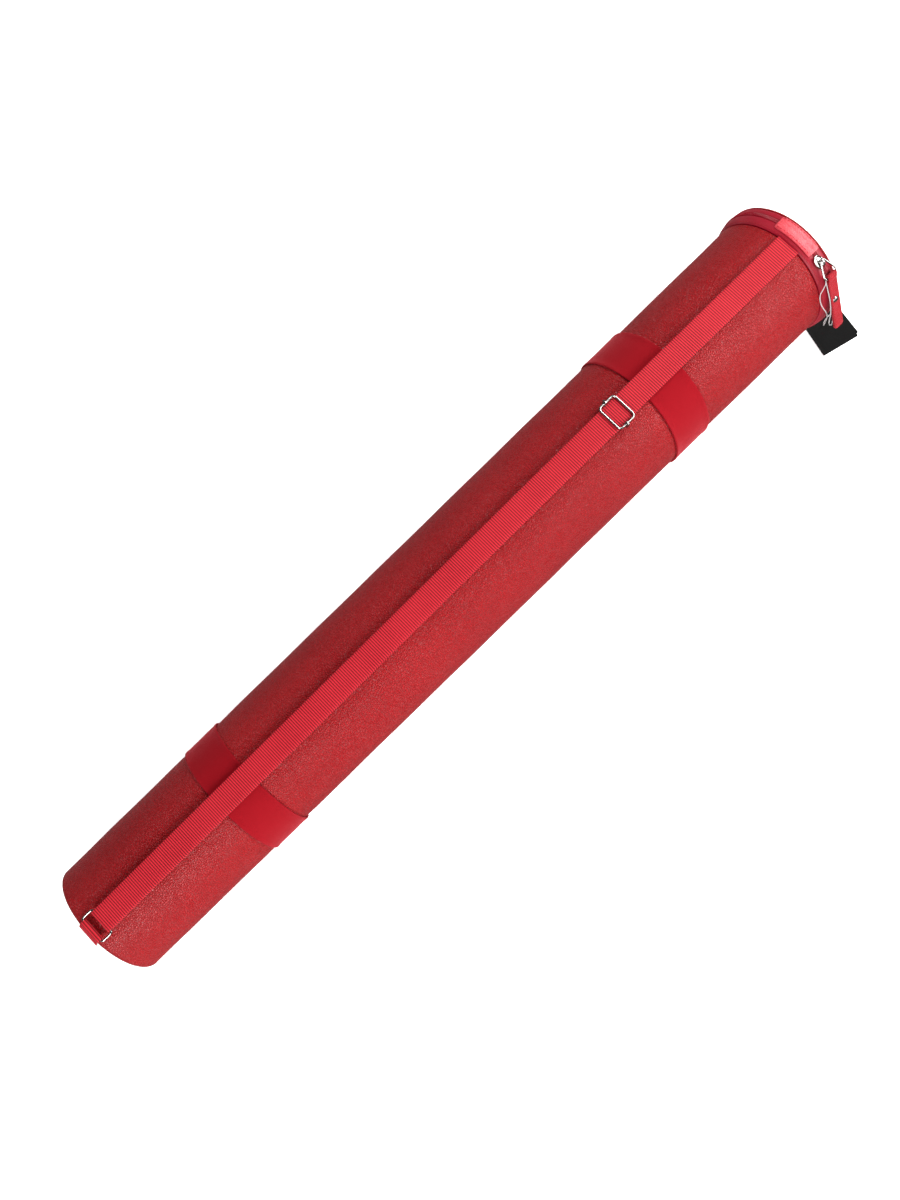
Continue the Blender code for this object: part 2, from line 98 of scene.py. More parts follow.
STRAP_TURN = math.atan2(STRAP_DIRECTION.y, STRAP_DIRECTION.x)
STRAP_Z = high("strap_main", "z") - STRAP_T / 2
RIB_PITCH = 2.1 * MM


def new_object(name, data):
    made = bpy.data.objects.new(name, data)
    bpy.context.scene.collection.objects.link(made)
    return made


# ---- camera and light


def place_camera():
    """Looking down on the case, a little from the slider's side, with the case running up to the right."""
    distance = 0.847
    foot = Vector((0.345, 0.0, 0.0))
    tilt = math.radians(7.0)
    roll = math.radians(44.27)
    back = Vector((0.0, -math.sin(tilt), math.cos(tilt)))
    side = Vector((0.0, math.cos(tilt), math.sin(tilt)))
    along = Vector((1.0, 0.0, 0.0))
    right = math.cos(roll) * along - math.sin(roll) * side
    up = math.sin(roll) * along + math.cos(roll) * side
    data = bpy.data.cameras.new("view")
    data.lens = 28.08
    data.sensor_width = 36.0
    data.shift_x = 0.0517
    data.shift_y = 0.05
    data.clip_start = 0.01
    camera = new_object("view", data)
    turn = Matrix((right, up, back)).transposed().to_4x4()
    place = foot + distance * back - 0.0079 * side
    camera.matrix_world = Matrix.Translation(place) @ turn
    bpy.context.scene.camera = camera


def area_light(name, place, target, size, power, glossy=True):
    data = bpy.data.lights.new(name, "AREA")
    data.shape = "RECTANGLE"
    data.size, data.size_y = size
    data.energy = power
    light = new_object(name, data)
    light.location = place
    light.rotation_euler = (Vector(target) - Vector(place)).to_track_quat("-Z", "Y").to_euler()
    light.visible_glossy = glossy


def place_lights():
    world = bpy.data.worlds.new("studio")
    world.use_nodes = True
    tree = world.node_tree
    direction = tree.nodes.new("ShaderNodeTexCoord").outputs["Generated"]
    parts = tree.nodes.new("ShaderNodeSeparateXYZ")
    tree.links.new(direction, parts.inputs[0])
    fade = tree.nodes.new("ShaderNodeValToRGB")
    for element, at, grey in zip(fade.color_ramp.elements, (0.20, 0.80), (0.30, 0.06)):
        element.position = at
        element.color = (grey, grey, grey, 1.0)
    tree.links.new(parts.outputs["Z"], fade.inputs[0])
    tree.links.new(fade.outputs["Color"], tree.nodes["Background"].inputs["Color"])
    tree.nodes["Background"].inputs["Strength"].default_value = 0.8
    bpy.context.scene.world = world
    bpy.context.scene.view_settings.view_transform = "Standard"
    centre = (0.45, 0.0, 0.0)
    area_light("key", (0.50, -1.45, 0.95), centre, (1.2, 0.5), 13.0, glossy=False)
    area_light("far_fill", (0.3, 1.3, 1.0), centre, (1.6, 0.9), 17.0, glossy=False)
    area_light("lid_light", (1.40, -0.80, 0.80), (0.80, 0.0, 0.0), (0.8, 0.8), 22.0)
    area_light("lid_top_light", (1.45, 0.10, 1.05), (0.85, 0.0, 0.0), (0.5, 0.8), 18.0)
    area_light("base_light", (-0.60, -0.90, 0.85), (0.05, 0.0, 0.0), (0.8, 0.8), 31.0)


def place_floor():
    mesh = bpy.data.meshes.new("floor")
    shape = bmesh.new()
    bmesh.ops.create_grid(shape, x_segments=1, y_segments=1, size=6.0)
    shape.to_mesh(mesh)
    shape.free()
    floor = new_object("floor", mesh)
    floor.location = (0.4, 0.0, FLOOR_Z)
    floor.visible_glossy = False
    kit = Shader("floor")
    kit.set({"Base Color": (0.93, 0.93, 0.93, 1.0), "Roughness": 0.9, "Specular IOR Level": 0.2})
    kit.set({"Emission Color": (1.0, 1.0, 1.0, 1.0), "Emission Strength": 0.35})
    mesh.materials.append(kit.material)


# ---- materials


class Shader:
    """A small helper that builds a Principled material from nodes."""

    def __init__(self, name):
        self.material = bpy.data.materials.new(name)
        self.material.use_nodes = True
        self.tree = self.material.node_tree
        self.bsdf = self.tree.nodes["Principled BSDF"]
        self.place = self.node("ShaderNodeTexCoord").outputs["Object"]

    def set(self, values):
        for socket, value in values.items():
            self.bsdf.inputs[socket].default_value = value

    def node(self, kind, settings=None, **inputs):
        made = self.tree.nodes.new(kind)
        for key, value in (settings or {}).items():
            setattr(made, key, value)
        for key, value in inputs.items():
            numbered = key[0] == "i" and key[1:].isdigit()
            self.feed(made.inputs[int(key[1:]) if numbered else key], value)
        return made

    def feed(self, socket, value):
        """Link another node's output to a socket, or set the socket to a value."""
        if isinstance(value, bpy.types.NodeSocket):
            self.tree.links.new(value, socket)
        elif isinstance(value, tuple) and len(value) == 3 and socket.type == "RGBA":
            socket.default_value = (*value, 1.0)
        else:
            socket.default_value = value

    def link(self, output, socket):
        self.tree.links.new(output, self.bsdf.inputs[socket])

    def noise(self, scale, detail=2.0, roughness=0.5):
        return self.node(
            "ShaderNodeTexNoise", Vector=self.place, Scale=scale, Detail=detail, Roughness=roughness
        ).outputs["Fac"]

    def ramp(self, value, stops):
        made = self.node("ShaderNodeValToRGB", Fac=value)
        for element, (at, colour) in zip(made.color_ramp.elements, stops):
            element.position = at
            element.color = (*colour, 1.0)
        return made.outputs["Color"]

    def math(self, operation, a, b, c=0.0):
        return self.node("ShaderNodeMath", {"operation": operation}, i0=a, i1=b, i2=c).outputs[0]

    def mix(self, factor, a, b):
        """Colour a where factor is 0, colour b where it is 1."""
        return self.node("ShaderNodeMix", {"data_type": "RGBA"}, i0=factor, i6=a, i7=b).outputs[2]

    def bump(self, height, distance, strength):
        made = self.node("ShaderNodeBump", Height=height, Distance=distance, Strength=strength)
        return made.outputs["Normal"]


def leather(name, base, deep, light, pebble=1.8, rough=0.34, relief=0.50, shine=0.24):
    """Pebble-grained synthetic leather: rounded cells with painted shade in their creases and a painted
    highlight on their crowns, and slow mottling.
    """
    kit = Shader(name)
    warp = kit.node("ShaderNodeTexNoise", Vector=kit.place, Scale=420.0, Detail=1.0).outputs["Color"]
    shift = kit.node("ShaderNodeVectorMath", {"operation": "SCALE"}, i0=warp, Scale=0.0004).outputs[0]
    bent = kit.node("ShaderNodeVectorMath", {"operation": "ADD"}, i0=kit.place, i1=shift).outputs[0]
    scale = 1.0 / (pebble * MM)

    def pebbles(feature, **inputs):
        inputs.update(Vector=bent, Scale=scale, Randomness=0.95)
        return kit.node("ShaderNodeTexVoronoi", {"feature": feature}, **inputs).outputs["Distance"]

    cells = pebbles("DISTANCE_TO_EDGE")
    domes = pebbles("SMOOTH_F1", Smoothness=0.4)
    smooth = {"interpolation_type": "SMOOTHSTEP"}
    crease = kit.node("ShaderNodeMapRange", smooth, i0=cells, i1=0.0, i2=0.24, i3=0.0, i4=1.0).outputs[0]
    fine = kit.noise(2600.0, 3.0, 0.6)
    slow = kit.noise(9.0, 3.0, 0.55)
    mottle = kit.noise(130.0)
    height = kit.math("ADD", kit.math("MULTIPLY", crease, 0.7), kit.math("MULTIPLY", domes, -0.45))
    height = kit.math("ADD", height, kit.math("MULTIPLY", fine, 0.08))
    tone = kit.ramp(slow, [(0.35, base), (0.68, light)])
    tone = kit.mix(kit.math("MULTIPLY", mottle, 0.14), tone, deep)
    # Painted shade: the tone darkens towards the deep colour in the creases between the pebbles.
    tone = kit.mix(kit.math("MULTIPLY_ADD", crease, -0.50, 0.50), tone, deep)
    # Painted highlight: the pebbles' crowns are lightened towards a pale pink, standing in for the light
    # that catches them.
    crown = kit.node("ShaderNodeMapRange", i0=domes, i1=0.12, i2=0.42, i3=0.16, i4=0.0).outputs[0]
    tone = kit.mix(crown, tone, (1.6 * light[0], 0.02 + light[1], 0.03 + light[2]))
    kit.link(tone, "Base Color")
    kit.link(kit.math("MULTIPLY_ADD", fine, 0.20, rough - 0.04), "Roughness")
    kit.link(kit.bump(height, relief * MM, 1.0), "Normal")
    kit.set({"Specular IOR Level": shine})
    return kit.material


def webbing(name, base, groove):
    """Ribbed polyester webbing; the ribs are in the mesh, the yarn and the tone are here, with painted
    shade in the grooves between the ribs.
    """
    kit = Shader(name)
    yarn = kit.node(
        "ShaderNodeTexWave",
        {"wave_type": "BANDS", "bands_direction": "Y", "wave_profile": "SIN"},
        Vector=kit.place, Scale=120.0, Distortion=1.2, Detail=1.0,
    ).outputs["Fac"]
    fuzz = kit.noise(3800.0, 2.0, 0.7)
    slow = kit.noise(22.0)
    rib = kit.node("ShaderNodeAttribute", {"attribute_name": "rib"}).outputs["Fac"]
    # Painted shade: the grooves between the ribs are coloured towards the dark groove tone.
    tone = kit.mix(kit.math("MULTIPLY_ADD", rib, -1.0, 1.0), base, groove)
    tone = kit.mix(kit.math("MULTIPLY", fuzz, 0.15), tone, groove)
    tone = kit.mix(kit.math("MULTIPLY", slow, 0.22), tone, tuple(min(1.0, c * 1.25 + 0.01) for c in base))
    kit.link(tone, "Base Color")
    kit.link(kit.bump(kit.math("ADD", yarn, fuzz), 0.00006, 0.8), "Normal")
    kit.set({"Roughness": 0.62, "Specular IOR Level": 0.12, "Sheen Weight": 0.06})
    kit.set({"Sheen Roughness": 0.45, "Sheen Tint": (1.0, 0.62, 0.62, 1.0)})
    return kit.material


def plush(name, base, deep):
    """Matt velvety elastic: short pile with a soft sheen at grazing angles."""
    kit = Shader(name)
    pile = kit.noise(3000.0, 3.0, 0.7)
    patches = kit.noise(60.0, 3.0, 0.6)
    tone = kit.mix(kit.math("MULTIPLY", pile, 0.7), base, deep)
    tone = kit.mix(kit.math("MULTIPLY", patches, 0.3), tone, deep)
    kit.link(tone, "Base Color")
    kit.link(kit.bump(pile, 0.00020, 0.7), "Normal")
    kit.set({"Roughness": 0.95, "Specular IOR Level": 0.12, "Sheen Weight": 0.20})
    kit.set({"Sheen Roughness": 0.35, "Sheen Tint": (1.0, 0.25, 0.3, 1.0)})
    return kit.material


def smooth_tape(name, base, deep, rough=0.36):
    """Smooth coated zip tape with a faint woven texture showing through."""
    kit = Shader(name)
    weave = kit.noise(1500.0, 2.0, 0.5)
    slow = kit.noise(45.0)
    tone = kit.mix(kit.math("MULTIPLY", slow, 0.5), base, deep)
    kit.link(tone, "Base Color")
    kit.link(kit.math("MULTIPLY_ADD", weave, 0.2, rough), "Roughness")
    kit.link(kit.bump(weave, 0.00008, 0.5), "Normal")
    kit.set({"Specular IOR Level": 0.3})
    return kit.material


def plated_steel():
    """Nickel plating, with fine scratches and a little smudging."""
    kit = Shader("nickel_plated")
    stretch = kit.node("ShaderNodeMapping", Vector=kit.place, Scale=(900.0, 5200.0, 2400.0)).outputs[0]
    scratch = kit.node("ShaderNodeTexNoise", Vector=stretch, Scale=1.0, Detail=4.0).outputs["Fac"]
    smudge = kit.noise(260.0, 3.0)
    tone = kit.ramp(smudge, [(0.3, (0.27, 0.26, 0.25)), (0.7, (0.40, 0.385, 0.37))])
    kit.link(tone, "Base Color")
    kit.link(kit.math("MULTIPLY_ADD", smudge, 0.16, 0.16), "Roughness")
    kit.link(kit.bump(scratch, 0.00002, 0.5), "Normal")
    kit.set({"Metallic": 1.0})
    return kit.material


def speckled(name, base, light, scale, rough, distance, shine=0.4):
    """Board, foam, lining and moulded plastic: a tone that varies with a fine relief."""
    kit = Shader(name)
    grain = kit.noise(scale, 4.0, 0.65)
    slow = kit.noise(scale / 30.0)
    tone = kit.ramp(grain, [(0.35, base), (0.75, light)])
    tone = kit.mix(kit.math("MULTIPLY", slow, 0.3), tone, base)
    kit.link(tone, "Base Color")
    kit.link(kit.math("MULTIPLY_ADD", grain, 0.15, rough - 0.07), "Roughness")
    kit.link(kit.bump(grain, distance, 0.7), "Normal")
    kit.set({"Specular IOR Level": shine})
    return kit.material


def clear_nylon():
    kit = Shader("clear_nylon")
    streak = kit.noise(900.0)
    kit.link(kit.ramp(streak, [(0.3, (0.48, 0.45, 0.45)), (0.7, (0.60, 0.57, 0.57))]), "Base Color")
    kit.link(kit.math("MULTIPLY_ADD", streak, 0.1, 0.12), "Roughness")
    kit.set({"Transmission Weight": 0.40, "IOR": 1.5})
    return kit.material


# ---- mesh tools


def clean(mesh, merge=0.0):
    """Turn the faces outwards, after merging points that are closer than merge."""
    shape = bmesh.new()
    shape.from_mesh(mesh)
    if merge:
        bmesh.ops.remove_doubles(shape, verts=shape.verts, dist=merge)
    bmesh.ops.recalc_face_normals(shape, faces=shape.faces)
    shape.to_mesh(mesh)
    shape.free()


def keep(name, shape, material, body, replaces=None, slot=None, flat_above=40.0, ribs=None):
    """A mesh piece from (vertices, faces). ribs gives each vertex's height on the webbing's ribs."""
    vertices, faces = shape
    mesh = bpy.data.meshes.new(name)
    mesh.from_pydata([tuple(v) for v in vertices], [], faces)
    mesh.materials.append(material)
    if ribs is not None:
        layer = mesh.attributes.new("rib", "FLOAT", "POINT")
        layer.data.foreach_set("value", np.asarray(ribs, np.float32))
    mesh.validate()
    clean(mesh)
    mesh.shade_smooth()
    mesh.set_sharp_from_angle(angle=math.radians(flat_above))
    piece = new_object(name, mesh)
    if body is not None:
        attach(piece, body)
    if replaces:
        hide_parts(replaces)
    return piece


def skin(rings, around=True, loop=False, caps=False):
    """Faces between rings of points. around closes each ring, loop joins the last to the first."""
    count = len(rings[0])
    vertices = [point for one in rings for point in one]
    faces = []
    last = len(rings) if loop else len(rings) - 1
    for i in range(last):
        j = (i + 1) % len(rings)
        for k in range(count if around else count - 1):
            m = (k + 1) % count
            faces.append((i * count + k, i * count + m, j * count + m, j * count + k))
    if caps:
        faces.append(tuple(range(count))[::-1])
        faces.append(tuple(range(last * count, last * count + count)))
    return vertices, faces


def arc(centre, radius, start, end, steps):
    angles = [math.radians(start + (end - start) * i / steps) for i in range(steps + 1)]
    return [(centre[0] + radius * math.cos(a), centre[1] + radius * math.sin(a)) for a in angles]


def offsets(*rows):
    """(x, radius) points from rows of a start, a step along, a radius and a rise; steps in millimetres."""
    return [(x + along * MM, radius + rise * MM) for x, along, radius, rise in rows]


def round_at(x, radius, angle):
    """A point on the case's skin; the angle is measured from the top towards the slider's side."""
    return Vector((x, -radius * math.sin(angle), radius * math.cos(angle)))


def lathe(name, profile, material, body, closed=True, sides=192, wobble=None, **options):
    """Turn (x, radius) points about the tube's axis. wobble(x, angle) adds to the radius."""
    rings = []
    for i in range(sides):
        angle = TAU * i / sides
        ring = []
        for x, r in profile:
            extra = wobble(x, angle) if wobble and r > 0.02 else 0.0
            ring.append(round_at(x, r + extra, angle))
        rings.append(ring)
    piece = keep(name, skin(rings, around=closed, loop=True), material, body, **options)
    if not closed:
        clean(piece.data, merge=1e-7)
    return piece


def resample(points, step):
    """Points evenly spaced along a polyline."""
    points = [Vector(p) for p in points]
    lengths = [0.0]
    for a, b in zip(points, points[1:]):
        lengths.append(lengths[-1] + (b - a).length)
    count = max(2, round(lengths[-1] / step) + 1)
    made, k = [], 0
    for i in range(count):
        at = lengths[-1] * i / (count - 1)
        while k < len(points) - 2 and lengths[k + 1] < at:
            k += 1
        span = lengths[k + 1] - lengths[k]
        made.append(points[k].lerp(points[k + 1], (at - lengths[k]) / span if span else 0.0))
    return made


def smooth_line(points, count, cyclic=False):
    """A Catmull-Rom curve through points, as many points as asked for."""
    points = [Vector(p) for p in points]
    if cyclic:
        ends = [points[-1]] + points + points[:2]
        spans = len(points)
    else:
        ends = [2 * points[0] - points[1]] + points + [2 * points[-1] - points[-2]]
        spans = len(points) - 1
    made = []
    for i in range(count):
        at = i * spans / (count if cyclic else count - 1)
        k = min(int(at), spans - 1)
        t = at - k
        a, b, c, d = ends[k : k + 4]
        square = (2 * a - 5 * b + 4 * c - d) * t**2
        cube = (3 * b - a - 3 * c + d) * t**3
        made.append(0.5 * ((2 * b) + (c - a) * t + square + cube))
    return made


def tube_rings(points, radius, sides, cyclic=False):
    """Rings of points round a line, without twist. radius is a number or a function of the share along."""
    rings = []
    count = len(points)
    normal = None
    for i, point in enumerate(points):
        before = points[i - 1] if i or cyclic else points[i]
        after = points[(i + 1) % count] if i < count - 1 or cyclic else points[i]
        along = (after - before).normalized()
        if normal is None:
            normal = along.orthogonal().normalized()
        normal = (normal - along * normal.dot(along)).normalized()
        across = along.cross(normal)
        r = radius(i / (count - 1)) if callable(radius) else radius
        turns = [TAU * k / sides for k in range(sides)]
        rings.append([point + r * (math.cos(a) * normal + math.sin(a) * across) for a in turns])
    return rings


def tube(name, points, radius, material, body, sides, cyclic=False, **options):
    rings = tube_rings(points, radius, sides, cyclic)
    if cyclic:
        # The frame may come back turned, so the last ring is matched to the first.
        first, last = rings[0], rings[-1]

        def mismatch(shift):
            return sum((first[k] - last[(k + shift) % sides]).length for k in range(sides))

        best = min(range(sides), key=mismatch)
        count = len(rings)
        for i, ring in enumerate(rings):
            turn = TAU / sides * best * i / count
            centre = sum(ring, Vector()) / sides
            axis = (points[(i + 1) % count] - points[i - 1]).normalized()
            spin = Matrix.Rotation(turn, 3, axis)
            rings[i] = [centre + spin @ (p - centre) for p in ring]
    return keep(name, skin(rings, loop=cyclic, caps=not cyclic), material, body, **options)


def many(name, shapes, material, body, **options):
    """One piece made of many small closed shapes, each given as (vertices, faces)."""
    vertices, faces = [], []
    for some_vertices, some_faces in shapes:
        start = len(vertices)
        vertices += some_vertices
        faces += [tuple(start + i for i in face) for face in some_faces]
    return keep(name, (vertices, faces), material, body, **options)


def stitch(a, b, out):
    """One thread stitch between two points, bowed outwards, with its ends sunk in the cloth."""
    radius, rise = 0.22 * MM, 0.18 * MM
    shares = [0.0, 0.18, 0.5, 0.82, 1.0]
    heights = [-1.2, 0.4, 1.0, 0.4, -1.2]
    points = [a.lerp(b, t) + out * rise * h for t, h in zip(shares, heights)]
    return skin(tube_rings(points, lambda t: radius * (0.55 if t in (0.0, 1.0) else 1.0), 6), caps=True)


def seam(points, out_at, length=0.0026, pause=0.0009):
    """A row of stitches along a line. out_at(point) gives the outward direction."""
    per = 0.2 * MM
    spots = resample(points, per)
    step, run = round((length + pause) / per), round(length / per)
    return [
        stitch(spots[i], spots[min(i + run, len(spots) - 1)], out_at(spots[i]))
        for i in range(0, len(spots) - run, step)
    ]


def round_seam(name, x, radius, out_at, body, look):
    """A row of stitches all the way round the case."""
    circle = [round_at(x, radius, TAU * i / 240) for i in range(241)]
    many(name, seam(circle, out_at), look["thread"], body, slot="webbing")


def from_axis(point):
    """The direction straight out from the tube's axis."""
    return Vector((0.0, point.y, point.z)).normalized()


def on_strap(point):
    """A point given in the strap's own upright plane, moved to where the strap runs."""
    return STRAP_PIVOT + Matrix.Rotation(STRAP_TURN, 3, "Z") @ (Vector(point) - STRAP_PIVOT)


def strap_seam(x, z):
    """Stitches across the strap, on a face that looks up."""
    row = [on_strap((x, y * MM, z)) for y in range(-10, 11)]
    return seam(row, lambda p: Vector((0.0, 0.0, 1.0)), 1.8 * MM, 0.6 * MM)


def strip_rings(line, shares, size_at, place):
    """Rings round a flat strip. size_at(i) gives its half width, and its half thickness at each share."""
    rings = []
    for i, point in enumerate(line):
        along = (line[min(i + 1, len(line) - 1)] - line[max(i - 1, 0)]).normalized()
        normal = Vector((-along.z, 0.0, along.x))
        half, heights = size_at(i)
        over = [(half * share, height) for share, height in zip(shares, heights)]
        loop = over + [(y, -height) for y, height in over[::-1]]
        rings.append([place(point + Vector((0.0, y, 0.0)) + normal * height) for y, height in loop])
    return rings


def flat_web(name, path, material, body, **options):
    """Webbing along (x, z) points: ribs across it, soft edges, and a rib value that the material uses to
    paint shade in the grooves.
    """
    rib_depth = 0.17 * MM
    steps_per_rib = 6
    line = resample([Vector((x, 0.0, z)) for x, z in path], RIB_PITCH / steps_per_rib)
    waves = [0.5 + 0.5 * math.cos(TAU * i / steps_per_rib) for i in range(len(line))]
    shares = [-1.0, -0.985, -0.93, -0.6, -0.2, 0.2, 0.6, 0.93, 0.985, 1.0]
    depth = [0.25, 0.62, 0.95, 1.0, 1.0, 1.0, 1.0, 0.95, 0.62, 0.25]
    ribbed = [0.3] + [1.0] * 8 + [0.3]

    def size_at(i):
        cut = rib_depth * (1.0 - waves[i])
        return STRAP_W / 2, [STRAP_T / 2 * d - cut * r for d, r in zip(depth, ribbed)]

    rings = strip_rings(line, shares, size_at, on_strap)
    ribs = [0.5 + 0.5 * math.tanh(3.0 * (w - 0.5)) / math.tanh(1.5) for w in waves for _ in rings[0]]
    return keep(name, skin(rings, caps=True), material, body, ribs=ribs, flat_above=55.0, **options)


# ---- the tube


def build_tube(look):
    """The leather sleeve: rounded over the base's edge, and slightly uneven as if covered by hand."""
    edge = BASE_EDGE_R
    wall = LEATHER_WALL
    centre = (BASE_FACE + edge, LEATHER_R - edge)
    top = COVER_END
    outer = arc(centre, edge, 180.0, 90.0, 10)
    inner = arc(centre, edge - wall, 90.0, 180.0, 5)
    stations = [BASE_FACE + edge + (top - wall - BASE_FACE - edge) * i / 96 for i in range(1, 97)]
    body = [(x, LEATHER_R) for x in stations]
    lip = [(top - 0.4 * MM, LEATHER_R - 0.25 * MM), (top, LEATHER_R - 0.75 * MM), (top, LEATHER_R - wall)]
    bands = [(low(b, "x"), high(b, "x")) for b in ("band_lower", "band_upper")]

    def uneven(x, angle):
        slow = 0.10 * math.sin(7.3 * x / 0.1 + 2.0 * angle) + 0.07 * math.sin(3.0 * angle + 21.0 * x)
        squeeze = sum(-0.22 * math.exp(-(((x - side) / 0.005) ** 2)) for band in bands for side in band)
        return (slow - 0.17 + squeeze) * MM * (0.2 if x < BASE_FACE + edge else 1.0)

    lathe("leather_sleeve", outer + body + lip + inner, look["leather"], "case", wobble=uneven,
          replaces="tube_cover", slot="leather")
    margin = 9.0 * MM
    seam_line = [BASE_FACE + margin + (COVER_END - BASE_FACE - 2 * margin) * i / 60 for i in range(61)]
    shapes = []
    for side in (-1, 1):
        angle = math.pi + side * 2.6 * MM / LEATHER_R
        points = [round_at(x, LEATHER_R + 0.02 * MM, angle) for x in seam_line]
        shapes += seam(points, from_axis, 0.0034, 0.0012)
    many("sleeve_seam_thread", shapes, look["thread"], "case", slot="webbing")


def build_base(look):
    """The base panel, slightly dished inside its turned rim, with a row of stitches round it."""
    radius = high("base_cover", "z")
    thick = high("base_cover", "x")
    profile = offsets(
        (0, 0.45, 0, 0), (0, 0.45, radius * 0.55, 0), (0, 0.3, radius, -6.0), (0, 0.05, radius, -4.6),
        (0, 0, radius, -3.4), (0, 0, radius, -1.2), (0, 0.35, radius, -0.3), (0, 0.9, radius, 0),
        (thick, 0, radius, 0), (thick, 0, 0, 0),
    )
    lathe("base_panel", profile, look["leather"], "case", closed=False, replaces="base_cover",
          slot="leather")
    round_seam("base_stitches", 0.18 * MM, radius - 2.3 * MM, lambda p: Vector((-1.0, 0.0, 0.0)),
               "case", look)


def build_bands(look):
    """Wide elastic bands: rolled edges that stand slightly proud, and a plush face between them."""
    for node in ("band_lower", "band_upper"):
        start, end = low(node, "x"), high(node, "x")
        inner = LEATHER_R + 0.05 * MM
        roll = 0.75 * MM
        outer = BAND_R
        profile = (
            arc((start + roll, outer - roll), roll, 180.0, 90.0, 5)
            + offsets((start, 2.2, outer, -0.02), (start, 3.0, outer, -0.30))
            + [(start + (end - start) * t, outer - 0.28 * MM) for t in (0.2, 0.35, 0.5, 0.65, 0.8)]
            + offsets((end, -3.0, outer, -0.30), (end, -2.2, outer, -0.02))
            + arc((end - roll, outer - roll), roll, 90.0, 0.0, 5)
            + [(end, inner), (start, inner)]
        )

        def give(x, angle):
            return 0.05 * MM * math.sin(11.0 * angle + 300.0 * x)

        name = node.replace("band", "elastic_band")
        lathe(name, profile, look["plush"], "case", wobble=give, replaces=node, slot="band",
              sides=256)


# ---- the zip


def coil_teeth(direction):
    """Loops of the zip's nylon coil, each a small bent tube. None lie under the hinge patch."""
    count, patch_half = 300, 17.0
    shapes = []
    base, top = ZIP_R - 1.15 * MM, ZIP_R - 0.32 * MM
    for i in range(count):
        angle = TAU * (i + (0.5 if direction > 0 else 0.0)) / count
        if math.cos(angle) > math.cos(math.radians(patch_half)):
            continue
        path = [(0.10, base), (0.25, top - 0.1 * MM), (0.7, top), (1.25, top - 0.05 * MM),
                (1.5, base + 0.15 * MM)]
        points = [round_at(ZIP_X + direction * t * MM, r, angle) for t, r in path]
        shapes.append(skin(tube_rings(points, 0.42 * MM, 6), caps=True))
    return shapes


def build_zip(look):
    """Each half of the zip: its tape, with the fold that stands over the leather's edge, and its coil."""
    for side, direction, body in (("tube", -1, "case"), ("lid", 1, "lid")):
        node = f"zip_tape_{side}"
        start, end = low(node, "x"), high(node, "x")
        near = ZIP_X + direction * 0.35 * MM
        if direction < 0:
            crown = offsets(
                (start, 0, LEATHER_R, -0.9), (start, 0.1, LEATHER_R, 0.35), (start, 1.0, LEATHER_R, 1.15),
                (start, 2.4, LEATHER_R, 1.95), (start, 4.2, ZIP_R, -0.75), (start, 5.8, ZIP_R, -0.45),
                (end, -0.3, ZIP_R, -0.55), (end, 0, ZIP_R, -0.95), (near, 0, ZIP_R, -1.05),
                (near, 0, ZIP_R, -1.55), (end, 0, ZIP_R, -1.7), (start, 4.2, ZIP_R, -2.1),
                (start, 1.0, LEATHER_R, -0.9),
            )
        else:
            crown = offsets(
                (near, 0, ZIP_R, -1.55), (near, 0, ZIP_R, -1.05), (start, 0, ZIP_R, -0.95),
                (start, 0.3, ZIP_R, -0.50), (start, 2.0, ZIP_R, -0.35), (start, 3.8, ZIP_R, -0.62),
                (end, 0, ZIP_R, -1.1), (end, 0, ZIP_R, -2.1), (start, 0, ZIP_R, -1.8),
            )
        lathe(f"{node}_cloth", crown, look["tape"], body, replaces=node, slot="zip_tape", sides=240)
        many(f"zip_coil_{side}_teeth", coil_teeth(direction), look["coil"], body,
             replaces=f"zip_coil_{side}", slot="zip_coil")
        edge_x = start + 1.35 * MM if direction < 0 else end - 0.9 * MM
        edge_r = LEATHER_R + 1.42 * MM if direction < 0 else ZIP_R - 0.90 * MM
        round_seam(f"zip_stitches_{side}", edge_x, edge_r, from_axis, body, look)


def build_lid(look):
    """The leather cap with a rolled rim, slightly crowned, and its stitches."""
    start, end = low("lid_cover", "x"), LENGTH
    outer = high("lid_cover", "z")
    roll = 1.7 * MM
    inside = end - LEATHER_WALL - 0.4 * MM
    profile = (
        offsets((end, 0, 0, 0), (end, -0.05, outer * 0.5, 0), (end, -0.35, outer, -8.0),
                (end, -0.62, outer, -5.2), (end, -0.45, outer, -4.2), (end, -0.12, outer, -3.2))
        + arc((end - roll, outer - roll), roll, 10.0, 85.0, 5)
        + offsets((start, 0.2, outer, -0.05), (start, 0, outer, -0.5), (start, 0, outer - LEATHER_WALL, 0),
                  (inside, 0, outer, -2.0), (inside, 0, 0, 0))
    )
    lathe("lid_cap", profile, look["leather"], "lid", closed=False, replaces="lid_cover",
          slot="leather", sides=240)
    round_seam("lid_stitches", end - 0.55 * MM, outer - 4.7 * MM, lambda p: Vector((1.0, 0.0, 0.0)),
               "lid", look)


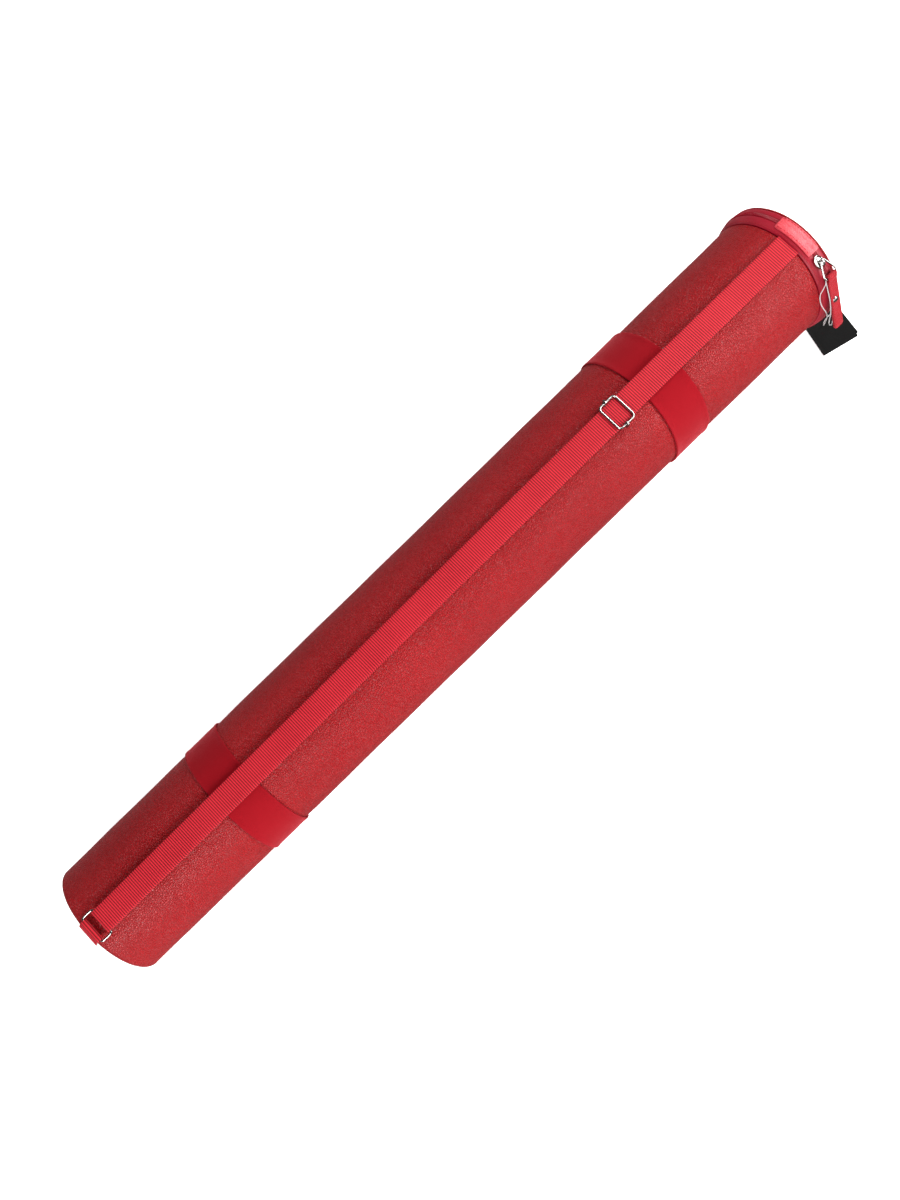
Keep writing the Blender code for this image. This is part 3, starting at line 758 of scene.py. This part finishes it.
def build_hinge_patch(look):
    """The leather hinge over the zip's ends, with a slight dip where the zip line runs."""
    start, end = low("hinge_patch", "x"), high("hinge_patch", "x")
    half = math.asin(high("hinge_patch", "y") / (ZIP_R + 1.4 * MM))
    inner, outer = ZIP_R + 0.2 * MM, ZIP_R + 1.35 * MM
    centre_x = (start + end) / 2
    rings = []
    for i in range(61):
        t = -1.0 + i / 30
        reach = (end - start) / 2 * (1.0 - 0.10 * abs(t) ** 10)
        angle = half * t
        over, under = [], []
        for k in range(17):
            u = -1.0 + k / 8.0
            drop = 0.55 * MM * abs(u) ** 6 + 0.35 * MM * abs(t) ** 14
            sag = -0.30 * MM * math.exp(-((u / 0.22) ** 2))
            lean = -0.9 * MM * max(0.0, -u) ** 2
            low_r = inner + lean - 0.3 * MM * abs(u) ** 6
            over.append(round_at(centre_x + u * reach, outer - drop + sag + lean, angle))
            under.append(round_at(centre_x + u * reach * 0.99, low_r, angle))
        rings.append(over + under[::-1])
    # The patch's lighter red and paler crowns are a painted highlight; its finer, lower relief is the
    # leather's own.
    patch = keep("hinge_leather", skin(rings, caps=True), look["patch_leather_painted_highlight"], None,
                 replaces="hinge_patch", slot="leather")
    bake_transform(patch)
    for body, x, sunk in (("case", start + 1.5 * MM, 0.75 * MM), ("lid", end - 1.3 * MM, 0.12 * MM)):
        line = [round_at(x, outer - sunk, half * 0.93 * (-1.0 + i / 20)) for i in range(41)]
        many(f"hinge_stitches_{body}", seam(line, from_axis), look["thread"], body, slot="webbing")


# ---- the slider and its pull


def slider_frame():
    """The turn from the top of the case to the slider's place, and how far out the link's pivot is."""
    pivot = Vector(joint("link_swing")["pos_m"])
    return Matrix.Rotation(math.atan2(-pivot.y, pivot.z), 4, "X"), Vector((0.0, pivot.y, pivot.z)).length


def build_slider(look):
    """A zip slider's pear-shaped top plate with rolled edges, and the bridge that holds its pull."""
    place, pivot_r = slider_frame()
    centre_x = middle("slider_plate", "x")
    bottom = ZIP_R + 0.45 * MM
    half_x, half_y = 3.7 * MM, 6.0 * MM
    power = 2 / 2.6
    outline = []
    for i in range(64):
        a = TAU * i / 64
        cx = math.copysign(abs(math.cos(a)) ** power, math.cos(a))
        cy = math.copysign(abs(math.sin(a)) ** power, math.sin(a))
        taper = 1.0 - 0.20 * max(0.0, -cy) ** 1.5
        outline.append((cx * half_x * taper, cy * half_y))
    levels = [(0.93, 0.0), (1.0, 0.12), (1.0, 0.62), (0.965, 0.85), (0.90, 0.98), (0.62, 1.04),
              (0.25, 1.06)]
    rings = []
    for share, height in levels:
        rings.append([
            place @ Vector((centre_x + x * share, y * share, bottom + height * MM)) for x, y in outline
        ])
    keep("slider_top", skin(rings, caps=True), look["steel"], "zip_slider", replaces="slider_plate",
         slot="steel")
    x = ZIP_X - 0.5 * MM
    foot = bottom + 1.3 * MM
    top = pivot_r + 1.9 * MM
    side = offsets((0, 4.7, foot, -0.5), (0, 4.5, foot, 0.6), (0, 3.6, top, -0.9), (0, 2.1, top, 0))
    path = [(-y, z) for y, z in side] + [(0.0, top + 0.1 * MM)] + side[::-1]
    line = smooth_line([place @ Vector((x, y, z)) for y, z in path], 49)

    def radius_at(t):
        return (0.62 + 0.22 * math.sin(math.pi * t) ** 2) * MM

    tube("slider_bail", line, radius_at, look["steel"], "zip_slider", sides=14,
         replaces="slider_bridge", slot="steel")


def link_bar():
    """Where the leather pull hangs, and the angle of that place round the case."""
    centre = Vector(joint("pull_swing")["pos_m"])
    return centre, math.atan2(-centre.y, centre.z)


def build_link(look):
    """The wire trapezoid between the slider's bridge and the leather pull."""
    place, pivot_r = slider_frame()
    centre = link_bar()[0]
    local = place.inverted() @ centre
    wire_r = 0.86 * MM
    near = (ZIP_X - 1.9 * MM, ZIP_X + 2.1 * MM)
    far = (local.x - 6.3 * MM, local.x + 6.3 * MM)
    run = (local.z - pivot_r) / local.y
    half_way = (local.y + 3.6 * MM) / 2
    outline = offsets(
        (near[0], -0.05, 0, -0.55), (near[0], 0.5, 0, 0), (near[1], -0.5, 0, 0), (near[1], 0.05, 0, -0.55),
        ((near[1] + far[1]) / 2, 0, half_way, 0), (far[1], 0, local.y, 3.6), (far[1], 0, local.y, 1.0),
        (far[1], -0.35, local.y, 0.25), (far[1], -1.2, local.y, 0), (local.x, 0, local.y, 0),
        (far[0], 1.2, local.y, 0), (far[0], 0.35, local.y, 0.25), (far[0], 0, local.y, 1.0),
        (far[0], 0, local.y, 3.6), ((near[0] + far[0]) / 2, 0, half_way, 0),
    )
    corners = [place @ Vector((x, y, pivot_r + run * y)) for x, y in outline]
    line = smooth_line(corners, 150, cyclic=True)
    tube("pull_ring", line, wire_r, look["steel"], "link", sides=14, cyclic=True,
         replaces="pull_link", slot="steel")


def build_puller(look):
    """A leather strip folded round the link's bar, stitched along its edges and riveted."""
    centre, angle = link_bar()
    width = high("puller", "x") - low("puller", "x")
    tilt = math.radians(13.5)
    turn = Matrix.Rotation(angle + tilt, 4, "X") @ Matrix.Rotation(-math.pi / 2, 4, "Z")
    place = Matrix.Translation(centre) @ turn
    thick = 1.1 * MM
    spread = 0.9 * MM + CLEARANCE + thick / 2
    close = 0.08 * MM + thick / 2
    length = 57.0 * MM
    upper = [(length, close), (length * 0.8, close * 1.02), (length * 0.5, close * 1.04),
             (8.5 * MM, close * 1.05), (5.0 * MM, close * 1.25), (2.3 * MM, spread * 0.93)]
    loop = arc((0.0, 0.0), spread, 62.0, 298.0, 14)
    lower = [(x, -z) for x, z in upper[::-1]]
    path = resample([Vector((x, 0.0, z)) for x, z in upper + loop + lower], 0.5 * MM)
    shares = [-1.0, -0.97, -0.88, -0.5, 0.0, 0.5, 0.88, 0.97, 1.0]
    depth = [0.35, 0.75, 0.97, 1.0, 1.0, 1.0, 0.97, 0.75, 0.35]

    def size_at(i):
        x = path[i].x
        tip = max(0.0, (abs(x) - (length - 2.2 * MM)) / (2.2 * MM))
        narrow = math.sqrt(max(0.0, 1.0 - 0.55 * tip * tip))
        neck = 1.0 - 0.03 * math.exp(-((x / (6.0 * MM)) ** 2))
        return width / 2 * narrow * neck, [thick / 2 * d for d in depth]

    rings = strip_rings(path, shares, size_at, lambda point: place @ point)
    keep("puller_strip", skin(rings, caps=True), look["puller_leather"], "pull", replaces="puller",
         slot="leather", flat_above=55.0)
    surface = close + thick / 2
    stitch_puller(place, width / 2 - 1.3 * MM, surface - 0.02 * MM, look)
    rivet_at = Vector([middle("rivet_cap", axis) for axis in "xyz"])
    centre_x = (place.inverted() @ rivet_at).x
    rivet("rivet_head", "rivet_cap", place, centre_x, surface - 0.04 * MM, 1.15 * MM, look)
    rivet("rivet_foot", "rivet_back", place, centre_x, -surface + 0.04 * MM, -0.6 * MM, look)


def stitch_puller(place, edge, surface, look):
    """Rows of stitches near both edges of the pull, on both of its faces."""
    shapes = []
    for side in (-1.0, 1.0):
        for face in (-1.0, 1.0):
            row = [place @ Vector((x * MM, side * edge, face * surface)) for x in range(9, 56)]
            outward = (place.to_3x3() @ Vector((0.0, 0.0, face))).normalized()
            shapes += seam(row, lambda p: outward, 2.2 * MM, 0.8 * MM)
    many("puller_stitches", shapes, look["thread"], "pull", slot="webbing")


def rivet(name, node, place, centre_x, start, height, look):
    """A low dome on the pull's surface, from its rim at start up to its crown."""
    radius = 2.75 * MM
    steps = [(1.0, 0.0), (1.02, 0.12), (0.97, 0.35), (0.84, 0.62), (0.64, 0.82), (0.38, 0.95), (0.12, 1.0)]
    turns = [TAU * k / 40 for k in range(40)]
    rings = []
    for share, rise in steps:
        r = share * radius
        z = start + rise * height
        rings.append([place @ Vector((centre_x + r * math.cos(a), r * math.sin(a), z)) for a in turns])
    keep(name, skin(rings, caps=True), look["steel"], "pull", replaces=node, slot="steel")


# ---- the strap and its fittings


def build_strap(look):
    """One length of ribbed webbing: main run, buckle window, sliding return layer and sewn end loop."""
    ring_bar_x = high("base_ring", "x") - WIRE_R
    ring_z = middle("base_ring", "z")
    turn_r = WIRE_R + CLEARANCE + STRAP_T / 2
    end_x, end_z = STRAP_PIVOT.x - 0.4 * MM, LEATHER_R + CLEARANCE + STRAP_T / 2
    drop = 660.0 * MM
    easing = []
    for i in range(24):
        t = 1.0 - i / 24
        easing.append((drop + (end_x - drop) * t, STRAP_Z + (end_z - STRAP_Z) * t * t * (3 - 2 * t)))
    around = arc((ring_bar_x, ring_z), turn_r, 90.0, 255.0, 14)
    path = easing + [(drop, STRAP_Z), (0.05, STRAP_Z - 0.02 * MM)] + around
    flat_web("strap_run", path, look["web"], "case", replaces="strap_main", slot="webbing")
    back_z = ring_z - turn_r
    bar_x = middle("buckle_bar", "x")
    bar_low = low("buckle_bar", "z") - CLEARANCE - STRAP_T / 2
    band_low, band_high = low("band_lower", "x"), high("band_lower", "x")
    over_band = BAND_R + 0.35 * MM + STRAP_T / 2
    start = ring_bar_x + 0.5 * MM
    path = [(start, back_z), (band_low - 10.0 * MM, over_band), (band_high + 10.0 * MM, over_band),
            (band_high + 60.0 * MM, bar_low), (bar_x - 22.5 * MM, bar_low)]
    back = flat_web("strap_return_run", path, look["web"], None, replaces="strap_return", slot="webbing")
    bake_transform(back)
    bar_turn = BAR_R + CLEARANCE + STRAP_T / 2
    around_bar = arc((bar_x, bar_low + bar_turn), bar_turn, -90.0, 90.0, 10)
    up_z = bar_low + 2 * bar_turn
    loop = [(bar_x - 22.0 * MM, bar_low)] + around_bar + [(bar_x - 16.0 * MM, up_z - 0.02 * MM)]
    flat_web("strap_end", loop, look["web"], "buckle_bar", replaces="strap_end_loop", slot="webbing")
    shapes = [one for x in (-14.5, -5.0) for one in strap_seam(bar_x + x * MM, up_z + STRAP_T / 2)]
    many("strap_end_stitches", shapes, look["thread"], "buckle_bar", slot="webbing")


def wire_outline(node, corner, step):
    """The middle line of a wire rectangle that fills its node's box, half its width, and its height."""
    x_low, x_high = low(node, "x") + WIRE_R, high(node, "x") - WIRE_R
    half = (high(node, "y") - low(node, "y")) / 2 - WIRE_R
    z = middle(node, "z")
    points = [(x_low, -half * t) for t in (0.0, 0.3, 0.6)]
    points += arc((x_low + corner, corner - half), corner, 180.0, 270.0, 8)
    points += arc((x_high - corner, corner - half), corner, 270.0, 360.0, 8)
    points += arc((x_high - corner, half - corner), corner, 0.0, 90.0, 8)
    points += arc((x_low + corner, half - corner), corner, 90.0, 180.0, 8)
    points += [(x_low, half * t) for t in (0.6, 0.3, 0.0)]
    return resample([Vector((x, y, z)) for x, y in points], step)[:-1], half, z


def build_buckle(look):
    """The frame is one bent wire whose ends meet in its low bar. The bar slides on its side wires."""
    loop, half, z = wire_outline("buckle_frame", 3.4 * MM, 0.6 * MM)
    loop = [on_strap(p) for p in loop]
    gap = 0.10 * MM
    direction = (loop[1] - loop[-1]).normalized()
    opened = [loop[0] + direction * gap] + loop[1:] + [loop[0] - direction * gap]
    tube("buckle_wire", opened, WIRE_R, look["steel"], "buckle_frame", sides=18,
         replaces="buckle_frame", slot="steel", flat_above=60.0)
    # Painted shadow: a near-black core shows in the small gap where the wire's ends meet.
    core = [loop[0] + direction * t * MM for t in (-0.5, -0.2, 0.2, 0.5)]
    tube("buckle_joint_shadow", core, 0.86 * MM, look["dark"], "buckle_frame", sides=14, slot="steel")
    bar_x = middle("buckle_bar", "x")
    bar_z = low("buckle_bar", "z") + BAR_R
    top = high("buckle_bar", "z") - BAR_R
    y = half + 2.1 * MM
    side = offsets((y, -2.3, top, 0), (y, -1.2, top, -0.05), (y, -0.3, top, -0.6), (y, 0, top, -1.6),
                   (y, 0, bar_z, 1.6), (y, -0.4, bar_z, 0.5), (y, -1.6, bar_z, 0))
    points = side + [(0.0, bar_z)] + [(-py, pz) for py, pz in side[::-1]]
    offset = on_strap((bar_x, 0.0, 0.0)).y
    line = smooth_line([Vector((bar_x, py + offset, pz)) for py, pz in points], 120)
    tube("buckle_slide_bar", line, BAR_R, look["steel"], "buckle_bar", sides=16,
         replaces="buckle_bar", slot="steel")
    shapes = []
    for sign in (-1.0, 1.0):
        centre = Vector((bar_x, offset + sign * half, z))
        ends = [centre + Vector((t * MM, 0.0, 0.0)) for t in (-1.7, -1.5, 1.5, 1.7)]
        rings = tube_rings(ends, lambda t: (1.42 if 0.1 < t < 0.9 else 1.25) * MM, 18)
        shapes.append(skin(rings, caps=True))
    many("buckle_collars", shapes, look["steel"], "buckle_bar", slot="steel")


def build_ring(look):
    """The wire ring that joins the strap to the base tab."""
    loop = wire_outline("base_ring", 1.6 * MM, 0.5 * MM)[0]
    x_low, x_high = min(p.x for p in loop), max(p.x for p in loop)
    line = []
    for p in loop:
        bow = math.copysign(0.35 * MM * math.sin(math.pi * (p.x - x_low) / (x_high - x_low)), p.y)
        line.append(on_strap(p + Vector((0.0, bow, 0.0))))
    tube("ring_wire", line, WIRE_R, look["steel"], "case", sides=18, cyclic=True,
         replaces="base_ring", slot="steel")


def build_tab(look):
    """The short webbing tab that goes over the base's rounded edge and is sewn under its panel."""
    edge = (BASE_FACE + BASE_EDGE_R, LEATHER_R - BASE_EDGE_R)
    hug = BASE_EDGE_R + 0.35 * MM + STRAP_T / 2
    bar_x = low("base_ring", "x") + WIRE_R
    ring_z = middle("base_ring", "z")
    turn_r = WIRE_R + CLEARANCE + STRAP_T / 2
    top = 61.2 * MM
    lower = [(5.6 * MM, LEATHER_R + 0.4 * MM + STRAP_T / 2), (bar_x - 1.2 * MM, ring_z - turn_r)]
    loop = arc((bar_x, ring_z), turn_r, -90.0, 90.0, 10)
    over = [(bar_x - 1.6 * MM, ring_z + turn_r - 0.15 * MM), (3.9 * MM, top)]
    wrap = arc(edge, hug, 128.0, 165.0, 8)
    flat_web("tab_webbing", lower + loop + over + wrap, look["web"], "case", replaces="ring_tab",
             slot="webbing")
    shapes = strap_seam(4.8 * MM, top + STRAP_T / 2)
    many("tab_stitches", shapes, look["thread"], "case", slot="webbing")


# ---- tag, thread and inside


THREAD_ROUTE = [
    (834.4, -43.4, 49.6), (833.4, -45.2, 47.2), (830.2, -46.6, 44.8), (826.4, -48.2, 42.2),
    (825.2, -52.4, 36.8), (828.2, -57.2, 28.2), (833.6, -61.6, 17.0), (838.5, -63.8, 4.0),
    (843.0, -64.4, -9.0), (849.0, -64.6, -24.0), (856.5, -63.8, -39.0), (867.0, -61.4, -52.5),
    (877.0, -59.8, -58.6), (880.8, -60.8, -57.0), (877.0, -63.8, -52.0), (867.0, -67.4, -44.0),
    (857.0, -69.4, -31.0), (848.0, -70.0, -15.0), (839.5, -69.4, -3.0), (834.6, -67.6, 9.0),
    (834.0, -63.8, 21.0), (833.9, -57.8, 32.0), (834.1, -50.6, 41.0), (834.5, -44.8, 47.2),
]


def card(name, node, turn, look):
    """A plain black card with rounded corners and a punched hole."""
    centre = Vector([middle(node, axis) for axis in "xyz"])
    half_x, half_y, thickness = 18.7 * MM, 17.5 * MM, 0.5 * MM
    corner, hole_r = 1.3 * MM, 1.6 * MM
    hole = Vector((9.6 * MM, 12.4 * MM, 0.0))
    outline = []
    for cx, cy, start in ((1, 1, 0), (-1, 1, 90), (-1, -1, 180), (1, -1, 270)):
        outline += arc((cx * (half_x - corner), cy * (half_y - corner)), corner, start, start + 90, 5)
    angles = [math.atan2(y - hole.y, x - hole.x) for x, y in outline]
    inner = [(hole.x + hole_r * math.cos(a), hole.y + hole_r * math.sin(a)) for a in angles]
    spin = Matrix.Rotation(turn, 3, "Z")
    rings = []
    for loop, z in ((outline, -0.5), (outline, 0.5), (inner, 0.5), (inner, -0.5)):
        rings.append([centre + spin @ Vector((x, y, z * thickness)) for x, y in loop])
    return keep(name, skin(rings, loop=True), look["card"], "zip_slider", replaces=node, slot="card",
                flat_above=35.0)


def build_tags(look):
    turn = math.radians(-13.8)
    return [
        card("tag_card_front", "tag_front", turn, look),
        card("tag_card_back", "tag_back", turn + math.radians(4.0), look),
    ]


def build_thread(look):
    """The clear thread that ties the cards to the slider."""
    thickness = 0.8 * MM
    route = smooth_line([Vector(p) * MM for p in THREAD_ROUTE], 72)
    data = bpy.data.curves.new("tag_cord", "CURVE")
    data.dimensions = "3D"
    data.bevel_depth = thickness / 2
    data.bevel_resolution = 3
    data.use_fill_caps = True
    spline = data.splines.new("POLY")
    spline.points.add(len(route) - 1)
    for point, place in zip(spline.points, route):
        point.co = (*place, 1.0)
    data.materials.append(look["nylon"])
    thread = new_object("tag_cord", data)
    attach(thread, "zip_slider")
    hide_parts("tag_thread")


def dress_inside(look):
    """Finishes for the frame's own pieces inside the case."""
    dress = {
        "board": ["core_tube", "base_board", "lid_board"],
        "lining": ["tube_lining", "lid_lining"],
        "foam": ["spacer_lower", "spacer_upper"],
        "inner": [f"butt_tube_{i}" for i in (1, 2)] + [f"shaft_tube_{i}" for i in (1, 2, 3, 4)],
    }
    for finish, nodes in dress.items():
        for node in nodes:
            materials = frame["nodes"][node].data.materials
            materials.clear()
            materials.append(look[finish])


def build_pads(look):
    """Soft foam discs behind the base panel and the lid."""
    for name, node, body in (("base_foam", "base_pad", "case"), ("lid_foam", "lid_pad", "lid")):
        start, end, radius = low(node, "x"), high(node, "x"), high(node, "z")
        edge = (end - start) * 0.35
        profile = [(start, 0.0), (start, radius - edge)]
        profile += arc((start + edge, radius - edge), edge, 165.0, 105.0, 2)
        profile += arc((end - edge, radius - edge), edge, 75.0, 15.0, 2)
        profile += [(end, radius - edge), (end, 0.0)]
        pad = lathe(name, profile, look["foam"], body, closed=False, sides=96, replaces=node, slot="foam")


def finishes():
    return {
        "leather": leather("red_leather", (0.245, 0.002, 0.004), (0.08, 0.001, 0.002),
                           (0.285, 0.004, 0.006)),
        "puller_leather": leather("puller_leather", (0.34, 0.008, 0.016), (0.14, 0.002, 0.005),
                                  (0.42, 0.015, 0.025), 1.2),
        "web": webbing("red_webbing", (0.47, 0.013, 0.024), (0.035, 0.0002, 0.0006)),
        "plush": plush("elastic_plush", (0.24, 0.002, 0.007), (0.13, 0.001, 0.003)),
        "tape": smooth_tape("zip_tape_red", (0.24, 0.002, 0.013), (0.13, 0.001, 0.005)),
        # Painted highlight: a lighter copy of the red leather for the hinge patch, standing in for the lamp
        # above the lid.
        "patch_leather_painted_highlight": leather("patch_leather_painted_highlight", (0.52, 0.030, 0.045), (0.30, 0.010, 0.018),
                                 (0.62, 0.05, 0.07), 1.6, 0.34, 0.20, 0.7),
        "coil": smooth_tape("zip_coil_red", (0.24, 0.002, 0.012), (0.12, 0.001, 0.005), 0.30),
        "thread": smooth_tape("sewing_thread_red", (0.34, 0.008, 0.016), (0.18, 0.003, 0.007), 0.55),
        "steel": plated_steel(),
        "dark": speckled("shadow_gap", (0.01, 0.01, 0.01), (0.02, 0.02, 0.02), 900.0, 0.9, 0.00002),
        "board": speckled("grey_board", (0.22, 0.16, 0.10), (0.36, 0.28, 0.19), 700.0, 0.85, 0.00010),
        "foam": speckled("black_foam", (0.010, 0.010, 0.011), (0.035, 0.035, 0.038), 1500.0, 0.95, 0.00030),
        "lining": speckled("black_cloth", (0.008, 0.008, 0.009), (0.030, 0.030, 0.033), 2600.0, 0.95,
                           0.00012),
        "inner": speckled("black_plastic", (0.008, 0.008, 0.009), (0.022, 0.022, 0.024), 500.0, 0.42,
                          0.00006),
        "card": speckled("black_card", (0.004, 0.004, 0.004), (0.009, 0.009, 0.009), 1400.0, 0.85,
                         0.00003, shine=0.04),
        "nylon": clear_nylon(),
    }


def main():
    place_camera()
    look = finishes()
    cards = build_tags(look)
    build_thread(look)
    place_lights()
    place_floor()
    for build in (
        build_tube, build_base, build_bands, build_zip, build_lid, build_hinge_patch, build_slider,
        build_link, build_puller, build_strap, build_buckle, build_ring, build_tab, build_pads,
        dress_inside,
    ):
        build(look)


main()
